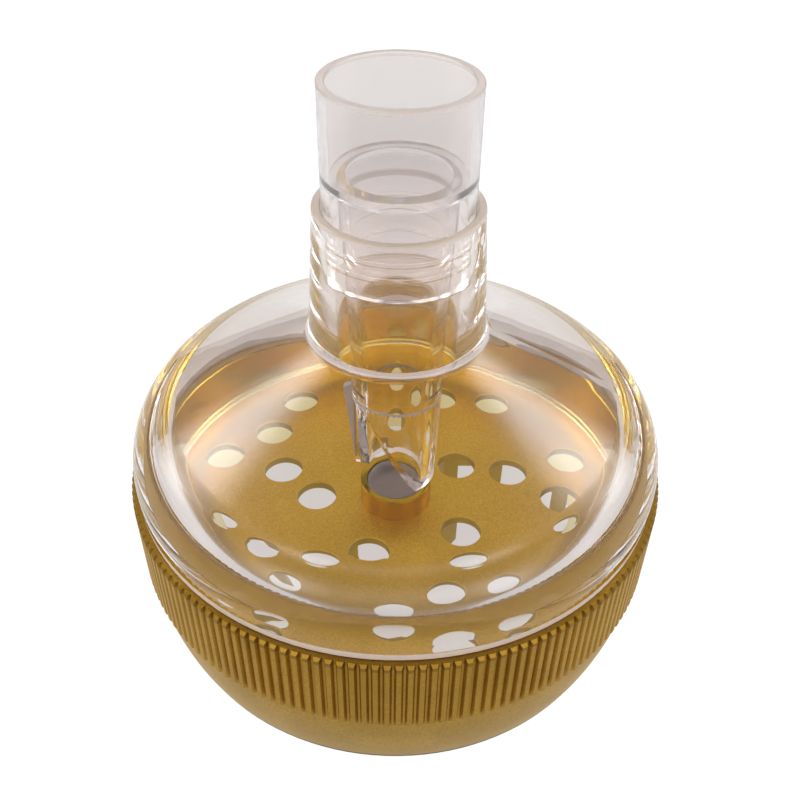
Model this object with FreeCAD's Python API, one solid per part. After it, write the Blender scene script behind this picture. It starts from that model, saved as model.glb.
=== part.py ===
"""Hand grinder section with a clear funnel lid, built from separate named pieces.

Millimetres, +Z up, the axis of the grinder on Z, the base on Z = 0, the front towards -Y.
"""
import FreeCAD, Part
import math
import os

V = FreeCAD.Vector

# Clearances and fits
RUNNING = 0.05
SEAT_GAP = 0.05
FREE_GAP = 0.30
GLUE_GAP = 0.02
CUT_OVER = 1.0

# Toothed plate
PLATE_TOP = 12.0
PLATE_T = 1.25
HOLE_R = 2.5
ARMS = 5
STEP_DEG = 360.0 / ARMS
TOOTH_RADIAL = 2.3
TOOTH_TANGENTIAL = 3.2
TOOTH_LENGTH = 6.75
RIVET_R = 2.4

# Rings of holes and of teeth: share of the plate's radius, turn of the first one
HOLE_RINGS = ((0.355, 36.0), (0.553, 18.0), (0.745, 0.0), (0.851, 18.0), (0.851, 54.0))
TOOTH_RINGS = ((0.248, 0.0), (0.447, 54.0), (0.603, 36.0), (0.638, 57.0), (0.787, 9.6))

# Knurled ring, outside
KNURL_R = 31.5
KNURL_DEPTH = 0.45
KNURL_COUNT = 170
KNURL_RIDGE = 0.50
KNURL_FLOOR = 0.22
KNURL_Z0 = 10.2
RING_TOP_CHAMFER = 0.3
COLLAR_INSET = 2.5
COLLAR_BULGE = 0.35
COLLAR_BASE_R = KNURL_R - COLLAR_INSET
BASE_CHAMFER = 0.3

# Knurled ring, inside
RING_WALL = 2.55
LID_BORE_R = KNURL_R - RING_WALL
LID_BORE_RISE = 1.9
LID_BORE_FLOOR = PLATE_TOP + LID_BORE_RISE
LID_BORE_DEPTH = 6.8
RING_TOP = LID_BORE_FLOOR + LID_BORE_DEPTH
BORE_MOUTH_CHAMFER = 0.3
PLATE_INSET = 0.75
PLATE_R = LID_BORE_R - PLATE_INSET
PLATE_LEDGE = 1.0
CHAMBER_R = PLATE_R - PLATE_LEDGE

# Magnet cup and magnet
CUP_R = 4.4
CUP_H = 3.2
CUP_WALL = 0.8
CUP_FLOOR = 0.7
CUP_EDGE = 0.15
MAGNET_RECESS = 0.15
MAGNET_EDGE = 0.2

# Clear lid
LID_RIM_INSET = 0.85
LID_RIM_R = KNURL_R - LID_RIM_INSET
LID_FLARE = 0.35
LID_WIDE_R = LID_RIM_R + LID_FLARE
LID_RIM_EDGE = 0.15
LID_SHOULDER_H = 6.75
LID_SHOULDER_Z = RING_TOP + LID_SHOULDER_H
LID_SHOULDER_FILLET = 6.8
LID_SLOPE = 0.543
LID_WALL = 2.0
SKIRT_WALL = 1.55
SKIRT_R = LID_BORE_R - RUNNING
SKIRT_INNER_R = SKIRT_R - SKIRT_WALL
SKIRT_EDGE = 0.25
INNER_SHOULDER_FILLET = 5.0
NECK_BASE_R = 9.75
NECK_TAPER = 0.95
NECK_TOP_R = NECK_BASE_R - NECK_TAPER
NECK_BASE_Z = LID_SHOULDER_Z + (LID_WIDE_R - NECK_BASE_R) * LID_SLOPE
NECK_FILLET = 1.2
NECK_EDGE = 0.2
NECK_WALL = 0.92
SOCKET_R = NECK_TOP_R - NECK_WALL
SOCKET_RISE = 8.0
SOCKET_FLOOR = NECK_BASE_Z + SOCKET_RISE
SOCKET_DEPTH = 6.6
NECK_TOP_Z = SOCKET_FLOOR + SOCKET_DEPTH
SOCKET_LEDGE = 0.88
NECK_BORE_R = SOCKET_R - SOCKET_LEDGE
NECK_BORE_FILLET = 0.3

# Clear spout
SLEEVE_R = SOCKET_R - RUNNING
SLEEVE_WALL = 0.85
MOUTH_WALL = 0.88
MOUTH_R = SLEEVE_R - MOUTH_WALL
MOUTH_RISE = 3.6
MOUTH_FLOOR = NECK_TOP_Z + MOUTH_RISE
MOUTH_DEPTH = 8.9
SPOUT_TOP = MOUTH_FLOOR + MOUTH_DEPTH
SPOUT_EDGE = 0.2
LEDGE_T = 1.0
LEDGE_W = 1.65
TUBE_WALL = 0.9
TUBE_FOOT_WALL = 1.4
TUBE_TOP_BORE_R = MOUTH_R - LEDGE_W
TUBE_TAPER = 1.95
TUBE_END_BORE_R = TUBE_TOP_BORE_R - TUBE_TAPER
TUBE_RISE = 1.7
TUBE_FOOT = PLATE_TOP + CUP_H + TUBE_RISE
GRIP_GROOVE_RISES = (2.2, 3.9)
GROOVE_W = 0.5
GROOVE_DEPTH = 0.12

# Scoop window at the foot of the tube
WINDOW_TURN = -12.0
WINDOW_H = 11.8
WINDOW_TOP = TUBE_FOOT + WINDOW_H
WINDOW_CORNER_X = -2.6
WINDOW_FOOT_X = 3.7
WINDOW_FILLET = 2.0
FIN_T = 0.8
FIN_TOP_W = 1.3
FIN_FOOT_W = 0.35
FIN_RISE = 0.9


def profile_wire(corners):
    """Closed outline in the XZ plane through (u, v, fillet) corners, with each filleted corner made an arc."""
    def place(u, v):
        return V(u, 0, v)

    edges = []
    starts = []
    ends = []
    arcs = []
    total = len(corners)
    for i in range(total):
        u, v, fillet = corners[i]
        before = corners[i - 1]
        after = corners[(i + 1) % total]
        a = V(before[0] - u, before[1] - v, 0)
        b = V(after[0] - u, after[1] - v, 0)
        a.normalize()
        b.normalize()
        if fillet <= 0:
            starts.append((u, v))
            ends.append((u, v))
            arcs.append(None)
            continue
        half = a.getAngle(b) / 2
        run = fillet / math.tan(half)
        first = (u + a.x * run, v + a.y * run)
        last = (u + b.x * run, v + b.y * run)
        middle = a + b
        middle.normalize()
        reach = fillet / math.sin(half) - fillet
        arcs.append((u + middle.x * reach, v + middle.y * reach))
        starts.append(first)
        ends.append(last)
    for i in range(total):
        if arcs[i]:
            edges.append(Part.Arc(place(*starts[i]), place(*arcs[i]), place(*ends[i])).toShape())
        nxt = (i + 1) % total
        edges.append(Part.LineSegment(place(*ends[i]), place(*starts[nxt])).toShape())
    return Part.Wire(edges)


def turned(corners):
    """Solid of revolution about Z from (radius, height, fillet) corners."""
    face = Part.Face(profile_wire(corners))
    return face.revolve(V(0, 0, 0), V(0, 0, 1), 360)


def disc(r, z0, z1):
    return Part.makeCylinder(r, z1 - z0, V(0, 0, z0))


def polar(r, deg):
    return r * math.cos(math.radians(deg)), r * math.sin(math.radians(deg))


def around(rings):
    """Centres of a pattern on the plate, repeated once per arm."""
    for share, start in rings:
        for k in range(ARMS):
            yield share * PLATE_R, start + k * STEP_DEG


def knurl_prism():
    """Straight-knurled bar: flat ridges with sloped grooves between them."""
    root = KNURL_R - KNURL_DEPTH
    pitch = 360.0 / KNURL_COUNT
    ridge = math.degrees(KNURL_RIDGE / KNURL_R) / 2
    floor = math.degrees(KNURL_FLOOR / root) / 2
    points = []
    for k in range(KNURL_COUNT):
        at = k * pitch
        for r, turn in ((KNURL_R, -ridge), (KNURL_R, ridge), (root, pitch / 2 - floor), (root, pitch / 2 + floor)):
            x, y = polar(r, at + turn)
            points.append(V(x, y, KNURL_Z0))
    points.append(points[0])
    return Part.Face(Part.makePolygon(points)).extrude(V(0, 0, RING_TOP - KNURL_Z0))


def make_ring():
    root = KNURL_R - KNURL_DEPTH
    band_limit = turned([
        (CHAMBER_R, KNURL_Z0, 0),
        (root, KNURL_Z0, 0),
        (KNURL_R, KNURL_Z0 + KNURL_DEPTH, 0),
        (KNURL_R, RING_TOP - RING_TOP_CHAMFER, 0),
        (KNURL_R - RING_TOP_CHAMFER, RING_TOP, 0),
        (CHAMBER_R, RING_TOP, 0),
    ])
    band = knurl_prism().common(band_limit)
    middle = ((root + COLLAR_BASE_R) / 2 + COLLAR_BULGE, KNURL_Z0 / 2)
    top = V(root, 0, KNURL_Z0)
    foot = V(COLLAR_BASE_R, 0, BASE_CHAMFER)
    toe = V(COLLAR_BASE_R - BASE_CHAMFER, 0, 0)
    heel = V(CHAMBER_R, 0, 0)
    inner = V(CHAMBER_R, 0, KNURL_Z0)
    outline = Part.Wire([
        Part.Arc(top, V(middle[0], 0, middle[1]), foot).toShape(),
        Part.LineSegment(foot, toe).toShape(),
        Part.LineSegment(toe, heel).toShape(),
        Part.LineSegment(heel, inner).toShape(),
        Part.LineSegment(inner, top).toShape(),
    ])
    collar = Part.Face(outline).revolve(V(0, 0, 0), V(0, 0, 1), 360)
    body = band.fuse(collar)
    bore = turned([
        (0, PLATE_TOP - PLATE_T, 0),
        (PLATE_R, PLATE_TOP - PLATE_T, 0),
        (PLATE_R, LID_BORE_FLOOR, 0),
        (LID_BORE_R, LID_BORE_FLOOR, 0),
        (LID_BORE_R, RING_TOP - BORE_MOUTH_CHAMFER, 0),
        (LID_BORE_R + BORE_MOUTH_CHAMFER, RING_TOP, 0),
        (LID_BORE_R + BORE_MOUTH_CHAMFER, RING_TOP + CUT_OVER, 0),
        (0, RING_TOP + CUT_OVER, 0),
    ])
    return body.cut(bore).removeSplitter()


def make_tooth(r, deg):
    x, y = polar(r, deg)
    tip = PLATE_TOP - PLATE_T - TOOTH_LENGTH
    corners = []
    for along, turn in ((TOOTH_RADIAL, 0), (TOOTH_TANGENTIAL, 90), (TOOTH_RADIAL, 180), (TOOTH_TANGENTIAL, 270)):
        dx, dy = polar(along / 2, deg + turn)
        corners.append(V(x + dx, y + dy, tip))
    corners.append(corners[0])
    return Part.Face(Part.makePolygon(corners)).extrude(V(0, 0, TOOTH_LENGTH + PLATE_T / 2))


def make_plate():
    plate = disc(PLATE_R, PLATE_TOP - PLATE_T, PLATE_TOP)
    plate = plate.fuse([make_tooth(r, deg) for r, deg in around(TOOTH_RINGS)])
    low = PLATE_TOP - PLATE_T - CUT_OVER
    high = PLATE_TOP + CUT_OVER
    tools = [disc(RIVET_R, low, high)]
    for r, deg in around(HOLE_RINGS):
        x, y = polar(r, deg)
        tools.append(Part.makeCylinder(HOLE_R, high - low, V(x, y, low)))
    return plate.cut(tools).removeSplitter()


def make_cup():
    pocket_r = CUP_R - CUP_WALL
    top = PLATE_TOP + CUP_H
    return turned([
        (0, PLATE_TOP - PLATE_T, 0),
        (RIVET_R, PLATE_TOP - PLATE_T, 0),
        (RIVET_R, PLATE_TOP, 0),
        (CUP_R, PLATE_TOP, 0),
        (CUP_R, top, CUP_EDGE),
        (pocket_r, top, CUP_EDGE),
        (pocket_r, PLATE_TOP + CUP_FLOOR, 0),
        (0, PLATE_TOP + CUP_FLOOR, 0),
    ])


def make_magnet():
    r = CUP_R - CUP_WALL - GLUE_GAP
    top = PLATE_TOP + CUP_H - MAGNET_RECESS
    return turned([
        (0, PLATE_TOP + CUP_FLOOR, 0),
        (r, PLATE_TOP + CUP_FLOOR, 0),
        (r, top, MAGNET_EDGE),
        (0, top, 0),
    ])


def make_lid():
    rest = RING_TOP + SEAT_GAP
    skirt_z = LID_BORE_FLOOR + FREE_GAP
    drop = LID_WALL * math.sqrt(1 + LID_SLOPE * LID_SLOPE)

    def inner(r):
        return LID_SHOULDER_Z + (LID_WIDE_R - r) * LID_SLOPE - drop

    return turned([
        (SKIRT_INNER_R, skirt_z, SKIRT_EDGE),
        (SKIRT_R, skirt_z, SKIRT_EDGE),
        (SKIRT_R, rest, 0),
        (LID_RIM_R, rest, LID_RIM_EDGE),
        (LID_WIDE_R, LID_SHOULDER_Z, LID_SHOULDER_FILLET),
        (NECK_BASE_R, NECK_BASE_Z, NECK_FILLET),
        (NECK_TOP_R, NECK_TOP_Z, NECK_EDGE),
        (SOCKET_R, NECK_TOP_Z, NECK_EDGE),
        (SOCKET_R, SOCKET_FLOOR, 0),
        (NECK_BORE_R, SOCKET_FLOOR, 0),
        (NECK_BORE_R, inner(NECK_BORE_R), NECK_BORE_FILLET),
        (SKIRT_INNER_R, inner(SKIRT_INNER_R), INNER_SHOULDER_FILLET),
    ])


def up_tube(z):
    return (z - TUBE_FOOT) / (MOUTH_FLOOR - TUBE_FOOT)


def tube_bore(z):
    """Bore radius of the tapered tube at a height."""
    return TUBE_END_BORE_R + up_tube(z) * TUBE_TAPER


def tube_r(z):
    return tube_bore(z) + TUBE_FOOT_WALL + up_tube(z) * (TUBE_WALL - TUBE_FOOT_WALL)


def make_spout():
    sleeve_foot = SOCKET_FLOOR + SEAT_GAP
    ledge_under = MOUTH_FLOOR - LEDGE_T
    sleeve_inner = SLEEVE_R - SLEEVE_WALL
    body = turned([
        (tube_bore(TUBE_FOOT), TUBE_FOOT, 0),
        (tube_r(TUBE_FOOT), TUBE_FOOT, 0),
        (tube_r(ledge_under), ledge_under, 0),
        (sleeve_inner, ledge_under, 0),
        (sleeve_inner, sleeve_foot, 0),
        (SLEEVE_R, sleeve_foot, 0),
        (SLEEVE_R, SPOUT_TOP, SPOUT_EDGE),
        (MOUTH_R, SPOUT_TOP, SPOUT_EDGE),
        (MOUTH_R, MOUTH_FLOOR, 0),
        (TUBE_TOP_BORE_R, MOUTH_FLOOR, SPOUT_EDGE),
    ])
    fin_root = V(-tube_r(TUBE_FOOT) + TUBE_WALL / 2, 0, TUBE_FOOT)
    fin = Part.Face(Part.makePolygon([
        fin_root,
        V(-tube_r(TUBE_FOOT) - FIN_FOOT_W, 0, TUBE_FOOT),
        V(-tube_r(WINDOW_TOP) - FIN_TOP_W, 0, WINDOW_TOP),
        V(-tube_r(WINDOW_TOP) + TUBE_WALL / 2, 0, WINDOW_TOP + FIN_RISE),
        fin_root,
    ])).extrude(V(0, FIN_T, 0))
    below = TUBE_FOOT - CUT_OVER
    window = Part.Face(profile_wire([
        (-NECK_BORE_R, below, 0),
        (-NECK_BORE_R, WINDOW_TOP, 0),
        (WINDOW_CORNER_X, WINDOW_TOP, WINDOW_FILLET),
        (WINDOW_FOOT_X, below, 0),
    ])).extrude(V(0, -NECK_BORE_R, 0))
    for shape in (fin, window):
        shape.rotate(V(0, 0, 0), V(0, 0, 1), WINDOW_TURN)
    core = turned([
        (0, below, 0),
        (tube_bore(TUBE_FOOT), below, 0),
        (tube_bore(TUBE_FOOT), TUBE_FOOT, 0),
        (TUBE_TOP_BORE_R, MOUTH_FLOOR, 0),
        (0, MOUTH_FLOOR, 0),
    ])
    body = body.fuse(fin.cut(core)).cut(window)
    grooves = []
    for rise in GRIP_GROOVE_RISES:
        z = SOCKET_FLOOR + rise
        grooves.append(turned([
            (SLEEVE_R - GROOVE_DEPTH, z, 0),
            (SLEEVE_R + CUT_OVER, z, 0),
            (SLEEVE_R + CUT_OVER, z + GROOVE_W, 0),
            (SLEEVE_R - GROOVE_DEPTH, z + GROOVE_W, 0),
        ]))
    return body.cut(grooves).removeSplitter()


os.makedirs("parts", exist_ok=True)
pieces = {
    "ring": make_ring(),
    "tooth_plate": make_plate(),
    "magnet_cup": make_cup(),
    "magnet": make_magnet(),
    "lid": make_lid(),
    "spout": make_spout(),
}
for name, shape in pieces.items():
    shape.exportStep("parts/" + name + ".step")
    print(name, shape.isValid(), len(shape.Solids), round(shape.Volume, 1), shape.BoundBox)
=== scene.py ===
"""Looks for a hand grinder section: gold anodised ring and plate under a clear dome lid with a filling spout.

Metres, +Z up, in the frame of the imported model. The CAD nodes stay as they are and get procedural materials.
"""
import math

import bpy
from mathutils import Euler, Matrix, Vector

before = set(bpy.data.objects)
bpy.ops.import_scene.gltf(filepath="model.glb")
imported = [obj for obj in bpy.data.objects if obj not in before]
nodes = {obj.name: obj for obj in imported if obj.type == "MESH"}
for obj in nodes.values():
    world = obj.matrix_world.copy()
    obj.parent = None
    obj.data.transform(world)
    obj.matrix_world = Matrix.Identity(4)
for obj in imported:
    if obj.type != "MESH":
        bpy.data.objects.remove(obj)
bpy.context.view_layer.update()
scene = bpy.context.scene

MM = 0.001
BLACK = (0, 0, 0)
WHITE = (1, 1, 1)

# Camera: the photograph's viewing angle, with the focal length in pixels of an 800 pixel frame
CAMERA_AT = (0.0, -0.08313, 0.09674)
CAMERA_TURN = (50.467, -0.695, 0.297)
FOCAL_PX = 920.0
FRAME_PX = 800.0
SENSOR_WIDTH = 36.0
CLIP_START = 0.001

# Light paths: most bounces in all, through the plastic, and between glossy faces
BOUNCES = 40
CLEAR_BOUNCES = 32
GLOSSY_BOUNCES = 32

# Studio tent: colours by height behind and ahead of the object, and as seen directly
TENT_BACK = (
    (0.10, (0.30, 0.28, 0.28)),
    (0.42, (0.85, 0.83, 0.83)),
    (0.65, (1.30, 1.28, 1.27)),
    (0.88, (0.45, 0.44, 0.44)),
    (1.0, (0.25, 0.24, 0.24)),
)
TENT_AHEAD = (
    (0.0, (0.50, 0.46, 0.50)),
    (0.25, (0.62, 0.59, 0.61)),
    (0.55, (2.0, 1.95, 1.9)),
    (0.88, (0.45, 0.44, 0.44)),
    (1.0, (0.25, 0.24, 0.24)),
)
TENT_CHANGE = ((0.05, WHITE), (0.5, BLACK))
TENT_DIRECT = (1.05, 1.05, 1.05, 1)
TENT_STRENGTH = 0.95

# Soft lights in the tent: direction, half width in degrees, strength
SOFT_LIGHTS = (
    ((0.76, 0.33, 0.56), 20.0, 5.0),
    ((-0.76, 0.33, 0.56), 20.0, 5.5),
    ((0.60, -0.62, 0.50), 20.0, 3.0),
    ((-0.60, -0.62, 0.50), 20.0, 3.0),
)
SOFT_EDGE = 2.0

# Floor: glow as seen directly, as the object sees it, and as the object sees the floor ahead of the fade
FLOOR_HALF = 3.0
FLOOR_Z = -0.02 * MM
FLOOR_COLOUR = (0.12, 0.12, 0.12, 1)
FLOOR_ROUGHNESS = 0.6
FLOOR_DIRECT = 0.94
FLOOR_GLOW = 0.74
FLOOR_AHEAD = 0.28
FADE_FROM_Y = -70.0 * MM
FADE_LENGTH = 50.0 * MM

# Slow change between two tones of gold
CLOUD_STOPS = ((0.3, BLACK), (0.7, WHITE))

# Gold anodised ring: tones, painted shade at its top and foot, painted light in its bore and chamber, and
# where they change
RING_TONES = ((0.44, 0.265, 0.034, 1), (0.52, 0.318, 0.047, 1))
RING_PITS = (0.24, 0.14, 0.016, 1)
PIT_STOPS = ((0.35, (0.5, 0.5, 0.5)), (0.6, BLACK))
KNURL_TONE = (0.50, 0.24, 0.01, 1)
KNURL_SHARE = 0.2
KNURL_Z = 10.2 * MM
# Painted shade: the ring's top, where the lid's flange covers it, is darkened
RING_TOP_PAINTED_SHADE = (0.16, 0.085, 0.015, 1)
RING_TOP_SHADE_SHARE = 0.5
RING_TOP_Z = 19.9 * MM
# Painted shadow: near-black gold at the ring's foot, a contact shade where it meets the floor
RING_FOOT_PAINTED_SHADOW = (0.10, 0.06, 0.008, 1)
RING_FOOT_Z = 0.9 * MM
# Painted light: a much brighter gold for the bore's inner wall, with vertical painted reflection streaks
# between its two tones
BORE_PAINTED_LIGHT_TONES = ((0.96, 0.77, 0.07, 1), (1.0, 0.88, 0.16, 1))
BORE_R = 29.4 * MM
BORE_ROUGHNESS = 0.24
REFLECTION_STREAKS_ROUND = 60.0
REFLECTION_STREAKS_UP = 120.0
# Painted light: a pale, whitish gold for the chamber wall below the plate
CHAMBER_PAINTED_LIGHT = (0.90, 0.80, 0.42, 1)
CHAMBER_R = 28.0 * MM
CHAMBER_Z = 11.0 * MM

# Blasted gold plate: tones of its face, its specks, and painted shade on its underside with the teeth and in
# its hole walls
PLATE_TONES = ((0.95, 0.635, 0.068, 1), (1.0, 0.68, 0.088, 1))
PLATE_SPECKS = ((0.40, (0.84, 0.82, 0.76)), (0.62, WHITE))
# Painted shade: darker gold below the plate's face, in the hole walls and on the underside
PLATE_BELOW_PAINTED_SHADE = (0.50, 0.33, 0.03, 1)
PLATE_FACE_Z = 11.7 * MM

# Turned cup and brushed magnet
CUP_TONES = ((0.40, 0.24, 0.004, 1), (0.60, 0.41, 0.015, 1))
LATHE_ROUND = 2.0
LATHE_LINES = 9000.0
MAGNET_TONES = ((0.30, 0.27, 0.25, 1), (0.42, 0.38, 0.36, 1))
BRUSH_STRETCH = (1.0, 7.0, 1.0)

# Clear plastic: tints, and pale painted highlights along edges as (lowest, highest, least radius) in
# millimetres, with how opaque each is
PLASTIC_IOR = 1.49
DOME_TINT = (0.85, 0.795, 0.77, 1)
NECK_TINT = (0.985, 0.96, 0.95, 1)
MOUTH_TINT = (0.95, 0.912, 0.902, 1)
LID_CHANGE = (37.0, 41.0)
SPOUT_CHANGE = (50.0, 58.0)
SPOUT_CLOUD = 0.16
# Painted highlight: pale colour for the bands along the plastic's edges
PAINTED_EDGE_HIGHLIGHT = (0.93, 0.845, 0.80, 1)
EDGE_ROUGHNESS = 0.35
LID_EDGES = ((20.82, 21.75, 30.2, 0.6), (53.2, 53.7, 0.0, 0.45))
SPOUT_EDGES = ((65.7, 66.2, 0.0, 0.45), (16.5, 30.0, 5.2, 0.9))

# The lid's flange face, which sits on the ring's gold top: an opaque gold painted on it, a painted reflection
# of that top
SEAT_Z = 20.75 * MM
SEAT_DEPTH = 0.06 * MM
SEAT_R = 28.4 * MM
# Painted reflection: the ring's gold, painted opaque on the lid's clear flange face
SEAT_PAINTED_GOLD = (0.96, 0.61, 0.12, 1)


class Tree:
    """Short names for building one node tree."""

    def __init__(self, tree):
        self.tree = tree
        tree.nodes.clear()

    def node(self, kind, **settings):
        n = self.tree.nodes.new(kind)
        for key, value in settings.items():
            setattr(n, key, value)
        return n

    def put(self, value, socket):
        """Sets a socket from a plain value or links it from another socket."""
        if isinstance(value, bpy.types.NodeSocket):
            self.tree.links.new(value, socket)
        else:
            socket.default_value = value

    def math(self, operation, a, b=0.0, c=0.0, clamp=False):
        n = self.node("ShaderNodeMath", operation=operation, use_clamp=clamp)
        for socket, value in zip(n.inputs, (a, b, c)):
            self.put(value, socket)
        return n.outputs[0]

    def ramp(self, fac, stops):
        n = self.node("ShaderNodeValToRGB")
        n.color_ramp.interpolation = "EASE"
        while len(n.color_ramp.elements) < len(stops):
            n.color_ramp.elements.new(0.5)
        for element, (at, colour) in zip(n.color_ramp.elements, stops):
            element.position = at
            element.color = (*colour, 1.0)
        self.put(fac, n.inputs["Fac"])
        return n.outputs["Color"]

    def mix(self, fac, a, b, blend="MIX"):
        n = self.node("ShaderNodeMix", data_type="RGBA", blend_type=blend)
        self.put(fac, n.inputs[0])
        self.put(a, n.inputs[6])
        self.put(b, n.inputs[7])
        return n.outputs[2]

    def noise(self, scale, detail=2.0, roughness=0.5, at=None, stretch=None):
        """Noise on the piece's own coordinates, in grains per metre."""
        if at is None:
            at = self.node("ShaderNodeTexCoord").outputs["Object"]
        if stretch:
            mapping = self.node("ShaderNodeMapping")
            mapping.inputs["Scale"].default_value = stretch
            self.put(at, mapping.inputs["Vector"])
            at = mapping.outputs["Vector"]
        n = self.node("ShaderNodeTexNoise")
        self.put(at, n.inputs["Vector"])
        n.inputs["Scale"].default_value = scale
        n.inputs["Detail"].default_value = detail
        n.inputs["Roughness"].default_value = roughness
        return n.outputs["Fac"]

    def split(self, vector):
        n = self.node("ShaderNodeSeparateXYZ")
        self.put(vector, n.inputs[0])
        return n.outputs

    def round_about_z(self):
        """Coordinates (turn, radius, height) about the piece's axis."""
        x, y, z = self.split(self.node("ShaderNodeTexCoord").outputs["Object"])
        turn = self.math("ARCTAN2", y, x)
        squares = self.math("ADD", self.math("MULTIPLY", x, x), self.math("MULTIPLY", y, y))
        return turn, self.math("SQRT", squares), z

    def scaled(self, values, scales):
        """A vector of values, each times its own scale."""
        n = self.node("ShaderNodeCombineXYZ")
        for socket, value, scale in zip(n.inputs, values, scales):
            self.put(self.math("MULTIPLY", value, scale), socket)
        return n.outputs[0]

    def above(self, value, limit, share=1.0):
        return self.math("MULTIPLY", self.math("GREATER_THAN", value, limit), share)

    def bump(self, height, strength, distance):
        n = self.node("ShaderNodeBump")
        n.inputs["Strength"].default_value = strength
        n.inputs["Distance"].default_value = distance
        self.put(height, n.inputs["Height"])
        return n.outputs["Normal"]


def new_material(name):
    mat = bpy.data.materials.new(name)
    mat.use_nodes = True
    tree = Tree(mat.node_tree)
    shader = tree.node("ShaderNodeBsdfPrincipled")
    tree.put(shader.outputs[0], tree.node("ShaderNodeOutputMaterial").inputs["Surface"])
    return mat, tree, shader


def dress(node, mat):
    data = nodes[node].data
    data.materials.clear()
    data.materials.append(mat)


def metal(t, shader, colour, roughness, relief):
    """Links a metal's colour, roughness and relief."""
    t.put(colour, shader.inputs["Base Color"])
    shader.inputs["Metallic"].default_value = 1.0
    t.put(roughness, shader.inputs["Roughness"])
    t.put(relief, shader.inputs["Normal"])


# Gold anodised ring
def ring_gold():
    mat, t, shader = new_material("ring_gold")
    turn, radius, z = t.round_about_z()
    grain = t.noise(3600.0, 3.0, 0.65)
    colour = t.mix(t.ramp(t.noise(160.0), CLOUD_STOPS), *RING_TONES)
    colour = t.mix(t.ramp(grain, PIT_STOPS), colour, RING_PITS)
    colour = t.mix(t.above(z, KNURL_Z, KNURL_SHARE), colour, KNURL_TONE)
    # Painted shade: darker gold on the ring's top under the lid's flange
    colour = t.mix(t.above(z, RING_TOP_Z, RING_TOP_SHADE_SHARE), colour, RING_TOP_PAINTED_SHADE)
    # Painted shadow: the ring's foot darkened as a contact shade
    colour = t.mix(t.math("LESS_THAN", z, RING_FOOT_Z), colour, RING_FOOT_PAINTED_SHADOW)
    chamber = t.math("LESS_THAN", z, CHAMBER_Z)
    inside = t.math("LESS_THAN", radius, t.math("MULTIPLY_ADD", chamber, CHAMBER_R - BORE_R, BORE_R))
    # Painted reflection: vertical streaks between the two bright bore tones
    painted_reflection_streak = t.noise(1.0, 3.0, 0.6, at=t.scaled((turn, 0.0, z), (REFLECTION_STREAKS_ROUND, 1.0, REFLECTION_STREAKS_UP)))
    # Painted light: the chamber below the plate gets a pale, whitish gold
    bore = t.mix(chamber, t.mix(painted_reflection_streak, *BORE_PAINTED_LIGHT_TONES), CHAMBER_PAINTED_LIGHT)
    satin = t.math("MULTIPLY_ADD", grain, 0.16, 0.36)
    roughness = t.math("MULTIPLY_ADD", inside, t.math("SUBTRACT", BORE_ROUGHNESS, satin), satin)
    metal(t, shader, t.mix(inside, colour, bore), roughness, t.bump(grain, 0.5, 0.03 * MM))
    return mat


# Blasted gold plate
def plate_gold():
    mat, t, shader = new_material("plate_gold")
    turn, radius, z = t.round_about_z()
    grain = t.noise(6500.0, 2.0, 0.6)
    colour = t.mix(t.ramp(t.noise(120.0), CLOUD_STOPS), *PLATE_TONES)
    colour = t.mix(1.0, colour, t.ramp(t.noise(4800.0, 2.0, 0.7), PLATE_SPECKS), "MULTIPLY")
    # Painted shade: darker gold in the hole walls and on the underside
    colour = t.mix(t.math("LESS_THAN", z, PLATE_FACE_Z), colour, PLATE_BELOW_PAINTED_SHADE)
    metal(t, shader, colour, t.math("MULTIPLY_ADD", grain, 0.15, 0.42), t.bump(grain, 0.4, 0.03 * MM))
    return mat


# Bright turned gold cup
def cup_gold():
    mat, t, shader = new_material("cup_gold")
    lines = t.scaled(t.round_about_z(), (LATHE_ROUND, LATHE_LINES, LATHE_LINES))
    lathe = t.noise(1.0, 2.0, 0.6, at=lines)
    colour = t.mix(lathe, *CUP_TONES)
    metal(t, shader, colour, t.math("MULTIPLY_ADD", lathe, 0.12, 0.12), t.bump(lathe, 0.12, 0.02 * MM))
    return mat


# Nickel plated disc magnet
def magnet_nickel():
    mat, t, shader = new_material("magnet_nickel")
    brush = t.noise(900.0, 3.0, 0.6, stretch=BRUSH_STRETCH)
    colour = t.mix(brush, *MAGNET_TONES)
    metal(t, shader, colour, t.math("MULTIPLY_ADD", brush, 0.18, 0.28), t.bump(brush, 0.1, 0.02 * MM))
    return mat


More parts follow.
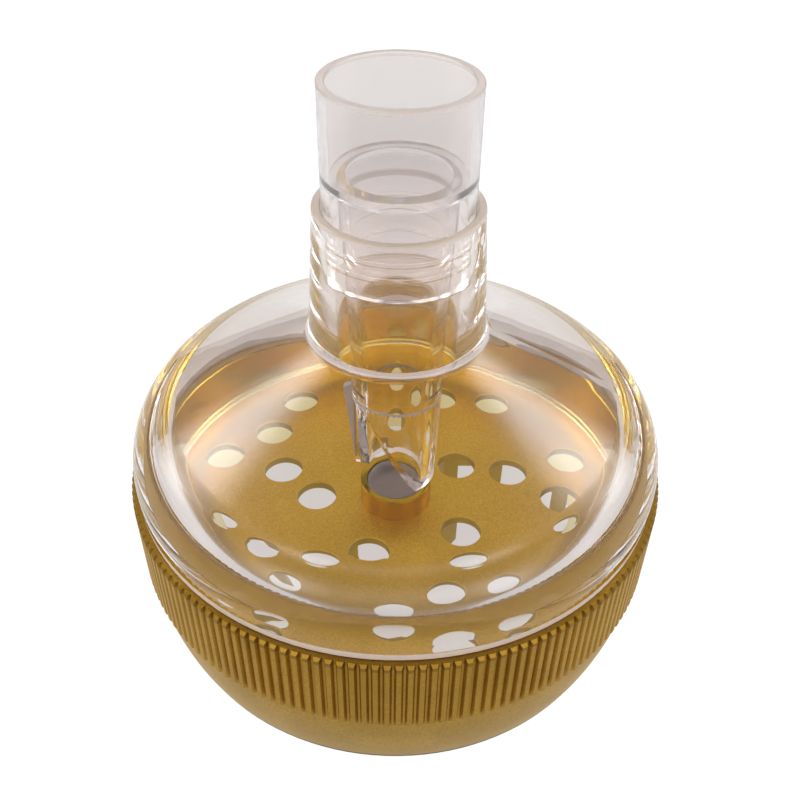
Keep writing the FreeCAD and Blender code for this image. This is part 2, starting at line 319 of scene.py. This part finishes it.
# Clear moulded plastic: tints below and above a change of height, pale painted highlights along edges, and a
# cloudiness up high
def clear_plastic(name, tints, change, edges, cloud=0.0, seated=False):
    mat, t, shader = new_material(name)
    turn, radius, z = t.round_about_z()
    low, top = change
    high = t.math("DIVIDE", t.math("SUBTRACT", z, low * MM), (top - low) * MM, clamp=True)
    colour = t.mix(high, *tints)
    dull = t.math("MULTIPLY", high, cloud)
    # Painted highlight: pale, partly opaque bands along edges
    painted_edges = 0.0
    for low, top, beyond, edge_opacity in edges:
        level = t.math("COMPARE", z, (low + top) / 2 * MM, (top - low) / 2 * MM)
        edge = t.math("MULTIPLY", level, t.above(radius, beyond * MM))
        painted_edges = t.math("MAXIMUM", painted_edges, edge)
        dull = t.math("MAXIMUM", dull, t.math("MULTIPLY", edge, edge_opacity))
    # Painted highlight: pale colour on the edge bands
    colour = t.mix(painted_edges, colour, PAINTED_EDGE_HIGHLIGHT)
    if seated:
        level = t.math("COMPARE", z, SEAT_Z, SEAT_DEPTH)
        seat = t.math("MULTIPLY", level, t.above(radius, SEAT_R))
        # Painted reflection: the flange face gets an opaque gold copying the ring's top below it
        colour = t.mix(seat, colour, SEAT_PAINTED_GOLD)
        dull = t.math("MAXIMUM", dull, seat)
    t.put(colour, shader.inputs["Base Color"])
    t.put(t.math("SUBTRACT", 1.0, dull), shader.inputs["Transmission Weight"])
    t.put(t.math("MULTIPLY", painted_edges, EDGE_ROUGHNESS), shader.inputs["Roughness"])
    shader.inputs["IOR"].default_value = PLASTIC_IOR
    t.put(t.bump(t.noise(90.0, 2.0, 0.45), 0.06, 0.4 * MM), shader.inputs["Normal"])
    return mat


dress("ring", ring_gold())
dress("tooth_plate", plate_gold())
dress("magnet_cup", cup_gold())
dress("magnet", magnet_nickel())
dress("lid", clear_plastic("clear_lid", (DOME_TINT, NECK_TINT), LID_CHANGE, LID_EDGES, seated=True))
dress("spout", clear_plastic("clear_spout", (NECK_TINT, MOUTH_TINT), SPOUT_CHANGE, SPOUT_EDGES, SPOUT_CLOUD))


# White floor, whose light on the object fades ahead of it
def floor_white():
    mat, t, shader = new_material("floor_white")
    shader.inputs["Base Color"].default_value = FLOOR_COLOUR
    shader.inputs["Roughness"].default_value = FLOOR_ROUGHNESS
    shader.inputs["Emission Color"].default_value = (*WHITE, 1)
    direct = t.node("ShaderNodeLightPath").outputs["Is Camera Ray"]
    x, y, z = t.split(t.node("ShaderNodeTexCoord").outputs["Object"])
    fade = t.math("DIVIDE", t.math("SUBTRACT", y, FADE_FROM_Y), FADE_LENGTH, clamp=True)
    glow = t.math("MULTIPLY_ADD", fade, FLOOR_GLOW - FLOOR_AHEAD, FLOOR_AHEAD)
    seen = t.math("MULTIPLY", direct, FLOOR_DIRECT)
    glow = t.math("MULTIPLY_ADD", t.math("SUBTRACT", 1.0, direct), glow, seen)
    t.put(glow, shader.inputs["Emission Strength"])
    return mat


corners = [(-FLOOR_HALF, -FLOOR_HALF, 0), (FLOOR_HALF, -FLOOR_HALF, 0)]
corners += [(FLOOR_HALF, FLOOR_HALF, 0), (-FLOOR_HALF, FLOOR_HALF, 0)]
floor_mesh = bpy.data.meshes.new("floor")
floor_mesh.from_pydata(corners, [], [(0, 1, 2, 3)])
floor_mesh.materials.append(floor_white())
floor = bpy.data.objects.new("floor", floor_mesh)
floor.location.z = FLOOR_Z
scene.collection.objects.link(floor)

# Studio light all round: a pale tent, darker behind the camera
world = bpy.data.worlds.new("studio")
scene.world = world
world.use_nodes = True
w = Tree(world.node_tree)
toward = w.node("ShaderNodeTexCoord").outputs["Generated"]
x, y, z = w.split(toward)
back = w.math("MULTIPLY_ADD", y, 0.5, 0.5)
light = w.mix(w.ramp(back, TENT_CHANGE), w.ramp(z, TENT_BACK), w.ramp(z, TENT_AHEAD))
for way, spread, strength in SOFT_LIGHTS:
    near = w.node("ShaderNodeVectorMath", operation="DOT_PRODUCT")
    w.put(toward, near.inputs[0])
    near.inputs[1].default_value = Vector(way).normalized()
    edge = math.cos(math.radians(spread))
    glow = w.math("DIVIDE", w.math("SUBTRACT", near.outputs["Value"], edge), 1.0 - edge, clamp=True)
    glow = w.math("MULTIPLY", w.math("POWER", glow, SOFT_EDGE), strength)
    light = w.mix(1.0, light, glow, "ADD")
light = w.mix(w.node("ShaderNodeLightPath").outputs["Is Camera Ray"], light, TENT_DIRECT)
background = w.node("ShaderNodeBackground")
w.put(light, background.inputs["Color"])
background.inputs["Strength"].default_value = TENT_STRENGTH
w.put(background.outputs[0], w.node("ShaderNodeOutputWorld").inputs["Surface"])

# Camera
lens = bpy.data.cameras.new("camera")
lens.sensor_width = SENSOR_WIDTH
lens.lens = FOCAL_PX / FRAME_PX * lens.sensor_width
lens.clip_start = CLIP_START
camera = bpy.data.objects.new("camera", lens)
camera.location = CAMERA_AT
camera.rotation_euler = Euler([math.radians(a) for a in CAMERA_TURN], "XYZ")
scene.collection.objects.link(camera)
scene.camera = camera

# Colour and light paths
scene.view_settings.view_transform = "Standard"
scene.cycles.use_denoising = True
scene.cycles.max_bounces = BOUNCES
scene.cycles.transmission_bounces = CLEAR_BOUNCES
scene.cycles.glossy_bounces = GLOSSY_BOUNCES
